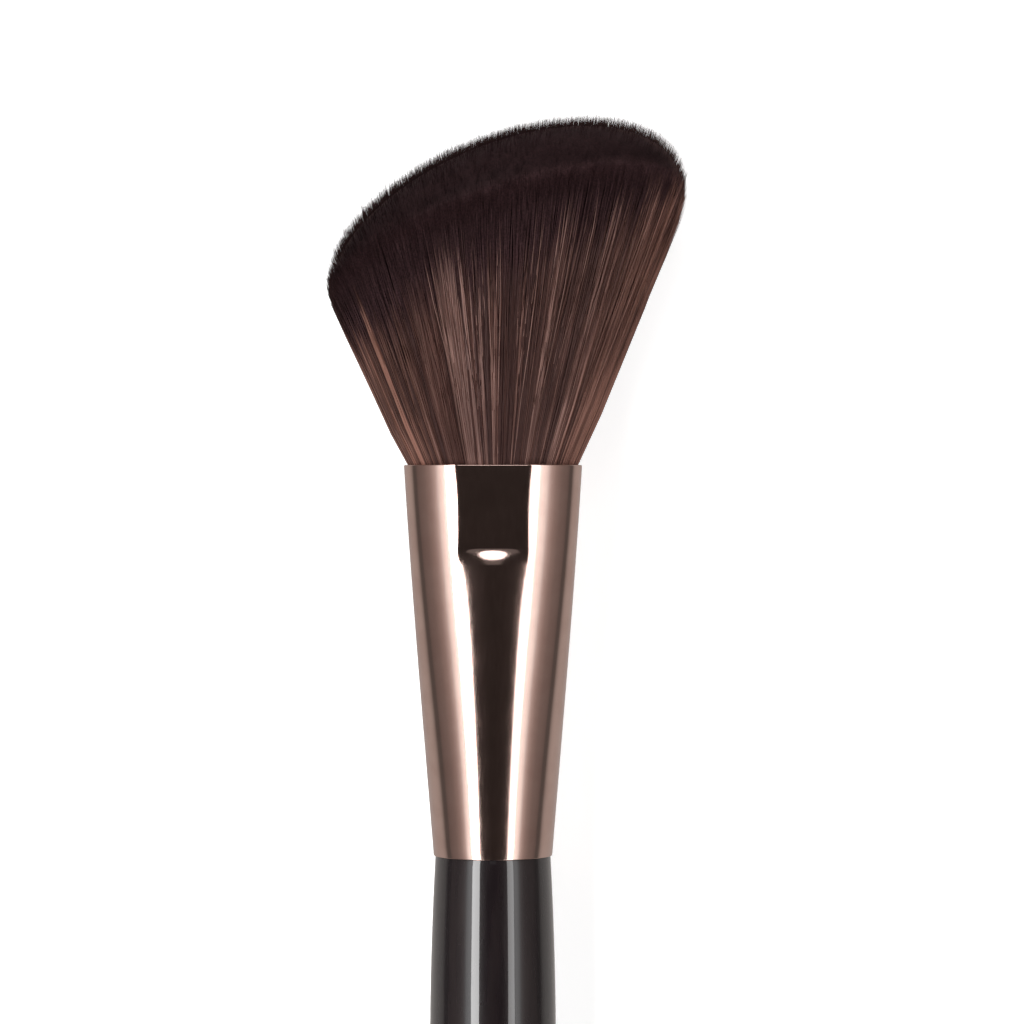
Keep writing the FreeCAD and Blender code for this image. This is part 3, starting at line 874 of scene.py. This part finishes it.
@dataclass(frozen=True)
class Growth:
    """One mesh of single hairs."""

    name: str
    count: int
    points: int  # on each hair
    seed: int
    innermost: float  # share of the mouth's size where the hairs begin
    outermost: float  # share where they end
    flatness: float  # share of the mouth's thickness that they fill
    run: float  # millimetres from the tip that are drawn
    thickness: float
    ragged: float  # how uneven their lengths are, in millimetres
    stray: float  # how far their tips stray, in millimetres

    def grow(self, tree: bpy.types.NodeTree, material: bpy.types.Material) -> bpy.types.Object:
        """Grows the hairs with the tree and keeps them as a plain mesh.

        Args:
            tree: The hair tree.
            material: The hair's finish.

        Returns:
            The object, which has no modifier left.
        """
        values = {key.capitalize(): value for key, value in asdict(self).items()} | {"Finish": material}
        host = bpy.data.objects.new(self.name, bpy.data.meshes.new(self.name))
        bpy.context.scene.collection.objects.link(host)
        modifier = host.modifiers.new("hairs", "NODES")
        modifier.node_group = tree
        for item in tree.interface.items_tree:
            if item.in_out == "INPUT" and item.name in values:
                modifier[item.identifier] = values[item.name]
        host.update_tag()
        depsgraph = bpy.context.evaluated_depsgraph_get()
        mesh = bpy.data.meshes.new_from_object(host.evaluated_get(depsgraph), depsgraph=depsgraph)
        host.modifiers.clear()
        host.data = mesh
        mesh.name = self.name
        kept = {trait.value for trait in Trait}
        spare = {part.name for part in mesh.attributes if part.domain == "POINT" and not part.is_required}
        for name in sorted(spare - kept):
            mesh.attributes.remove(mesh.attributes[name])
        return host


GROWTHS = [
    Growth("hair_outer_a", 4900, 7, 1, 0.955, 1.008, 1.0, 100.0, 0.050, 0.28, 0.16),
    Growth("hair_outer_b", 4900, 7, 2, 0.93, 0.995, 1.0, 100.0, 0.045, 0.32, 0.20),
    Growth("hair_tips_a", 9000, 2, 3, 0.0, 0.93, 1.0, 3.0, 0.048, 0.50, 0.10),
    Growth("hair_tips_b", 9000, 2, 4, 0.35, 0.99, 1.0, 3.2, 0.044, 0.50, 0.12),
    Growth("hair_crest_a", 14500, 2, 5, 0.0, 0.97, 0.27, 2.2, 0.025, 0.72, 0.10),
    Growth("hair_crest_b", 14500, 2, 6, 0.0, 0.97, 0.27, 2.0, 0.023, 0.72, 0.10),
]


class HairTree(Desk):
    """The Geometry Nodes tree that grows single hairs by the tuft's rule."""

    def __init__(self, tuft: Tuft) -> None:
        """Lays out the hairs as plain lines, then strews, bends and skins them.

        Args:
            tuft: The tuft whose sizes the inputs start from.
        """
        super().__init__(bpy.data.node_groups.new("single_hairs", "GeometryNodeTree"))
        self.tuft = tuft
        self.source = self.tree.nodes.new("NodeGroupInput")
        for way in ("INPUT", "OUTPUT"):
            self.tree.interface.new_socket("Geometry", in_out=way, socket_type="NodeSocketGeometry")
        names = [part.name for part in fields(Growth) if part.name != "name"]
        self.given = {name: self.number(name, getattr(GROWTHS[0], name)) for name in names}
        line = self.value("GeometryNodeCurvePrimitiveLine")
        line = self.value("GeometryNodeResampleCurve", {"Curve": line, "Count": self.given["points"]})
        inputs = {0: line, "Amount": self.given["count"]}
        self.hairs = self.value("GeometryNodeDuplicateElements", inputs, domain="SPLINE")
        self.strew()
        self.bend()
        self.skin()

    def ask(self, name: str, kind: str, value: float | None = None) -> Wire:
        """Adds a named input to the tree.

        Args:
            name: The input's name.
            kind: Its socket's type.
            value: Its default, where it has one.

        Returns:
            What it gives.
        """
        item = self.tree.interface.new_socket(name, in_out="INPUT", socket_type=kind)
        if value is not None:
            item.default_value = value
        return Wire(self, next(s for s in self.source.outputs if s.identifier == item.identifier))

    def number(self, name: str, value: float) -> Wire:
        """A number among the tree's inputs, whole if its default is, under the name in words."""
        kind = "NodeSocketInt" if isinstance(value, int) else "NodeSocketFloat"
        return self.ask(name.replace("_", " ").title(), kind, value)

    def size(self, name: str) -> Wire:
        """One of the tuft's sizes as a named input."""
        return self.number(name, getattr(self.tuft, name))

    def draw(self, offset: int, low: float = 0.0) -> Wire:
        """A random number up to 1 for each hair."""
        shifted = self.given["seed"] * 17.0 + float(offset)
        return self.value("FunctionNodeRandomValue", {2: low, 3: 1.0, "Seed": shifted}, 1, data_type="FLOAT")

    def store(self, name: str, value: Wire, domain: str = "CURVE") -> None:
        """Writes a value on each hair, or on each of its points."""
        inputs = {"Geometry": self.hairs, "Name": name, "Value": value}
        self.hairs = self.value("GeometryNodeStoreNamedAttribute", inputs, data_type="FLOAT", domain=domain)

    def read(self, name: str) -> Wire:
        """Reads a value that store() wrote."""
        return self.value("GeometryNodeInputNamedAttribute", {"Name": name}, data_type="FLOAT")

    def lengths_of(self, across: Wire, through: Wire) -> tuple[Wire, Wire]:
        """Reckons a hair's length as the tuft does.

        Args:
            across: Where its root lies, as a share of the mouth's width.
            through: The same for the thickness.

        Returns:
            The rim's height there, and the hair's length.
        """
        roundness, crown = self.size("dome_roundness"), self.size("dome_crown")
        open_width = self.math("MAXIMUM", 1.0 - across * across, 0.0)
        inner = self.math("MAXIMUM", open_width - through * through, 0.0) ** roundness
        dome = self.size("dome_height") + self.size("dome_slant") * across
        rim = self.size("rim_length") + self.size("rim_slant") * across + dome * crown * open_width**roundness
        return rim, rim + dome * (1.0 - crown) * inner

    def strew(self) -> None:
        """Stores each hair's place in the mouth, its length, and what sets it apart."""
        # More of them on the long front and back than on the short flanks
        spin = self.draw(1) * FULL_TURN
        turn = spin + self.math("SINE", spin * 2.0) * self.tuft.evenness
        inner, outer = (self.given[name] * self.given[name] for name in ("innermost", "outermost"))
        self.store("turn", turn)
        self.store("reach", self.math("SQRT", inner + (outer - inner) * self.draw(2)))
        turn, reach = self.read("turn"), self.read("reach")
        across = reach * self.math("COSINE", turn)
        through = reach * self.math("SINE", turn) * self.given["flatness"]
        spot = self.vector(across, through, 0.0)
        fine_shade = self.noise(spot, 18.0, 1.0) * 0.5 + self.noise(spot, 44.0, 1.0) * 0.2
        shade = self.noise(spot, 4.0, 2.0) * 0.3 + fine_shade
        swing = self.draw(8)
        rim, length = self.lengths_of(across, through)
        stored = {
            "gather": self.noise(spot, 13.0, 1.0) - 0.5,
            "swell": self.noise(spot, 6.0, 2.0) - 0.5,
            "stray_x": self.draw(4, -1.0),
            "stray_z": self.draw(5, -1.0),
            "crossing": self.draw(7, -1.0) * (swing + 3.0 * swing**8.0) * (1.1 - across * across),
            Trait.TINT.value: self.draw(6),
            Trait.LOCK.value: self.fit(shade, 0.42, 0.58),
            Trait.ACROSS.value: across,
            Trait.THROUGH.value: through,
            "rim": rim,
            "length": length + (self.draw(3) ** 2.0 * 2.0 - 1.3) * self.given["ragged"],
        }
        for name, value in stored.items():
            self.store(name, value)

    def bend(self) -> None:
        """Draws each hair out along the tuft's form, into the row's frame."""
        # Points lie closer together towards the tip
        factor = self.value("GeometryNodeSplineParameter", key="Factor")
        length = self.read("length")
        start = self.math("MAXIMUM", length - self.given["run"], -self.tuft.hair_root)
        rise = start + (length - start) * (1.0 - (1.0 - factor) ** self.tuft.point_crowding)
        self.store(Trait.RISE.value, rise, "POINT")
        self.store("tipward", length - rise, "POINT")
        self.store(Trait.OVER_RIM.value, rise - self.read("rim"), "POINT")
        height, stray_x, stray_z = (self.read(name) for name in (Trait.RISE.value, "stray_x", "stray_z"))
        along = self.fit(height, 0.0, self.tuft.loosening_height)
        angle = self.read("turn") + self.read("gather") * along * self.size("gathering")
        breadth = self.read("reach") * (1.0 + self.read("swell") * along * self.size("unevenness"))
        breadth = breadth * (1.0 - self.fit(height, -1.0, 0.5, 0.045, 0.0))
        wide = self.size("mouth_half_width") + self.size("side_spread") * height
        deep = self.size("mouth_half_depth") + self.size("depth_spread") * height
        wander = self.fit(self.read("tipward"), 0.0, 9.0, 1.0, 0.0) * self.given["stray"]
        wave = self.math("SINE", height * 0.23 + stray_x * 7.0) * stray_z * along * self.size("waviness")
        x = breadth * self.math("COSINE", angle) * wide - self.size("side_lean") * height
        x = x + stray_x * wander + wave + self.read("crossing") * along * self.size("crossing")
        z = breadth * self.math("SINE", angle) * self.given["flatness"] * deep + stray_z * wander

        # No hair goes below the table
        axes = self.tuft.axes
        mouth, axis, upward = (vector.tolist() for vector in (axes.mouth, axes.along, axes.upward))
        floor = (self.given["thickness"] * 1.3 + self.tuft.table_clearance) * MM
        place_y = mouth[1] + (height * axis[1] + z * upward[1]) * MM
        place_z = mouth[2] + (height * axis[2] + z * upward[2]) * MM
        place = self.vector(mouth[0] + x * MM, place_y, self.math("MAXIMUM", place_z, floor))
        inputs = {"Geometry": self.hairs, "Position": place}
        self.hairs = self.value("GeometryNodeSetPosition", inputs)

    def skin(self) -> None:
        """Gives the hairs three-sided skins that taper towards the tip, in their finish."""
        slim = self.fit(self.read("tipward"), 0.0, self.tuft.tip_taper, self.tuft.tip_share, 1.0)
        profile = self.value("GeometryNodeCurvePrimitiveCircle", {"Resolution": 3, "Radius": 1.0})
        scale = self.given["thickness"] * MM * slim
        inputs = {"Curve": self.hairs, "Profile Curve": profile, "Scale": scale, "Fill Caps": True}
        skin = self.value("GeometryNodeCurveToMesh", inputs)
        skin = self.value("GeometryNodeSetShadeSmooth", {0: skin, "Shade Smooth": True})
        skin = self.value("GeometryNodeRealizeInstances", {0: skin})
        finish = self.ask("Finish", "NodeSocketMaterial")
        skin = self.value("GeometryNodeSetMaterial", {"Geometry": skin, "Material": finish})
        self.node("NodeGroupOutput", {0: skin})


# The studio


@dataclass(frozen=True)
class Softbox:
    """A long even lamp that faces the brush."""

    name: str
    lean: float
    pitch: float
    width: float
    length: float
    distance: float
    radiance: float

    def hang(self, target: Vector) -> None:
        """Hangs the lamp.

        Args:
            target: The point that it faces.
        """
        lean, pitch = math.radians(self.lean), math.radians(self.pitch)
        away = Vector((math.sin(lean) * math.cos(pitch), math.sin(pitch), math.cos(lean) * math.cos(pitch)))
        data = bpy.data.lights.new(self.name, "AREA")
        data.shape = "RECTANGLE"
        data.size, data.size_y = self.width, self.length
        data.energy = self.radiance * math.pi * self.width * self.length
        lamp = bpy.data.objects.new(self.name, data)
        lamp.location = target + away * self.distance
        sideways = Vector((0.0, 1.0, 0.0)).cross(away).normalized()
        turn = Matrix((sideways, away.cross(sideways), away)).transposed()
        lamp.rotation_euler = turn.to_euler()
        lamp.visible_camera = False
        bpy.context.scene.collection.objects.link(lamp)


@dataclass
class Studio:
    """The pale table, the soft lamps and the camera over the brush."""

    axes: BrushAxes
    floor_half_size: float = 1.5
    floor_colour: Colour = (0.85, 0.85, 0.85)
    floor_glow: float = 0.6
    glow_reach: tuple[float, float] = (0.15, 0.7)
    lens: float = 135.0
    sensor: float = 36.0
    field_width: float = 102.4
    centre_across: float = 1.9
    centre_along: float = -4.7
    # Glow of the sheets that only reflections show: painted reflections
    grey_card: float = 0.42
    black_card: float = 0.10
    grey_card_half_width: float = 0.050
    card_blend: float = 0.028
    card_hue: Colour = (1.0, 0.94, 0.90)
    shade_hue: Colour = (1.0, 0.86, 0.82)
    shade_tones: tuple[float, float] = (0.25, 0.9)
    room_peak: float = 1.6
    room_tones: tuple[tuple[float, float], ...] = (
        (0, 0.024), (20, 0.03), (26, 0.09), (31, 0.35), (37, 0.9), (44, 1.4), (50, 1.08), (53, 0.66),
        (57, 0.46), (63, 0.31), (73, 0.21), (85, 0.17), (91, 0.14), (120, 0.3),
    )
    softboxes: tuple[Softbox, ...] = (
        Softbox("softbox_left", -33.0, 0.0, 0.158, 1.8, 0.6, 6.3),
        Softbox("softbox_right", 34.5, 0.0, 0.126, 1.8, 0.6, 2.5),
        Softbox("softbox_head", 0.0, 33.0, 0.115, 0.147, 0.6, 3.0),
        Softbox("softbox_crown", 0.0, 18.0, 0.12, 0.15, 0.6, 0.12),
    )

    def sheet(self, name: str, finish: str, depth: float) -> tuple[bpy.types.Object, Desk]:
        """Lays a square sheet just under the brush.

        Args:
            name: The sheet's name.
            finish: Its material's name.
            depth: Millimetres that it lies below the table's height.

        Returns:
            The sheet, and its material's empty tree.
        """
        corners = np.array([(-1, -1, 0), (1, -1, 0), (1, 1, 0), (-1, 1, 0)]) * self.floor_half_size
        sheet = make_object(name, corners - (0, 0, depth * MM), [(0, 1, 2, 3)])
        material = bpy.data.materials.new(finish)
        sheet.data.materials.append(material)
        return sheet, Desk.blank(material)

    def lay_floor(self) -> None:
        """A plain pale table, a little brighter to the eye and in reflections, which keeps the shadow."""
        floor, desk = self.sheet("table_top", "pale_table", 0.05)
        path = desk.node("ShaderNodeLightPath")
        rays = [desk.wire(path, f"Is {kind} Ray") for kind in ("Camera", "Glossy", "Transmission")]
        seen = desk.math("MINIMUM", rays[0] + rays[1] + rays[2], 1.0)
        place = desk.value("ShaderNodeTexCoord", key="Object")
        distance = desk.value("ShaderNodeVectorMath", {0: place}, operation="LENGTH", key="Value")
        far = desk.fit(distance, *self.glow_reach, self.floor_glow, 1.0)
        plain = desk.node("ShaderNodeBsdfDiffuse", {"Color": (*self.floor_colour, 1.0)})
        glow = desk.node("ShaderNodeEmission", {"Strength": seen * far})
        both = desk.node("ShaderNodeAddShader", {0: desk.wire(plain), 1: desk.wire(glow)})
        desk.node("ShaderNodeOutputMaterial", {"Surface": desk.wire(both)})
        floor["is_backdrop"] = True

    def lay_cards(self) -> None:
        """Grey and black glowing sheets flat on the table, which only reflections show: painted reflections that
        edge the shiny parts.
        """
        cards, desk = self.sheet("edge_cards", "card_tones", 0.03)
        across, _, _ = desk.split(desk.value("ShaderNodeTexCoord", key="Object"))
        near, far = (self.grey_card_half_width + side * self.card_blend for side in (-1, 1))
        # Painted reflection: the sheet glows grey near the brush and black further out, seen only by glossy rays
        tone = desk.fit(desk.math("ABSOLUTE", across), near, far, self.grey_card, self.black_card)
        glow = desk.node("ShaderNodeEmission", {"Color": (*self.card_hue, 1.0), "Strength": tone})
        desk.node("ShaderNodeOutputMaterial", {"Surface": desk.wire(glow)})
        for sight in ("camera", "diffuse", "transmission", "volume_scatter", "shadow"):
            setattr(cards, f"visible_{sight}", False)
        cards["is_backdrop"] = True

    def paint_room(self) -> None:
        """A white backdrop for the eye, and for light a room that is dark overhead and pale at the sides."""
        world = bpy.data.worlds.new("studio_room")
        desk = Desk.blank(world)
        side, _, high = desk.split(desk.value("ShaderNodeTexCoord", key="Generated"))
        lean = desk.math("ARCTAN2", desk.math("ABSOLUTE", side), high)
        tone = desk.ramp(lean * (180 / math.pi), self.room_tones, self.room_peak)
        hue = desk.vector(*(desk.fit(tone, *self.shade_tones, share, 1.0) for share in self.shade_hue))
        room = desk.node("ShaderNodeBackground", {"Color": hue, "Strength": tone})
        backdrop = desk.node("ShaderNodeBackground", {"Color": (1, 1, 1, 1), "Strength": 1.0})
        seen = desk.value("ShaderNodeLightPath", key="Is Camera Ray")
        mix = desk.node("ShaderNodeMixShader", {0: seen, 1: desk.wire(room), 2: desk.wire(backdrop)})
        desk.node("ShaderNodeOutputWorld", {"Surface": desk.wire(mix)})
        bpy.context.scene.world = world

    def set_camera(self) -> None:
        """Looks down on the brush, square to its axis, with the head at the top."""
        centre = self.axes.place(np.array([[self.centre_across, self.centre_along, 0.0]]))[0]
        data = bpy.data.cameras.new("overhead")
        data.lens, data.sensor_width = self.lens, self.sensor
        data.clip_start, data.clip_end = 0.01, 10.0
        camera = bpy.data.objects.new("overhead", data)
        away = self.field_width * MM * self.lens / self.sensor
        turn = Matrix(np.stack([(1.0, 0.0, 0.0), self.axes.along, self.axes.upward], axis=1).tolist())
        spot = Vector(centre + self.axes.upward * away)
        camera.matrix_world = Matrix.LocRotScale(spot, turn.to_quaternion(), None)
        bpy.context.scene.collection.objects.link(camera)
        bpy.context.scene.camera = camera

    def build(self) -> None:
        """Sets up the whole studio."""
        self.lay_floor()
        self.lay_cards()
        self.paint_room()
        target = Vector(self.axes.mouth)
        for softbox in self.softboxes:
            softbox.hang(target)
        self.set_camera()
        bpy.context.scene.view_settings.view_transform = "Standard"


def main() -> None:
    """Builds the brush from the handle up, then the studio."""
    logging.basicConfig(level=logging.INFO, format="%(name)s: %(message)s")
    grip_to_mouth = 59.0
    axes = BrushAxes.from_grip(frame["record"], grip_to_mouth)
    ferrule = Ferrule(axes)
    for assembly in (Handle(axes), ferrule, GluePlug(), Tuft(axes, ferrule)):
        assembly.dress()
    Studio(axes).build()
    boxes = {name: [list(corner) for corner in box] for name, box in [("cad", CAD_BOX), ("visual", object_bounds())]}
    log.info("boxes: %s", boxes)


if __name__ == "__main__":
    main()
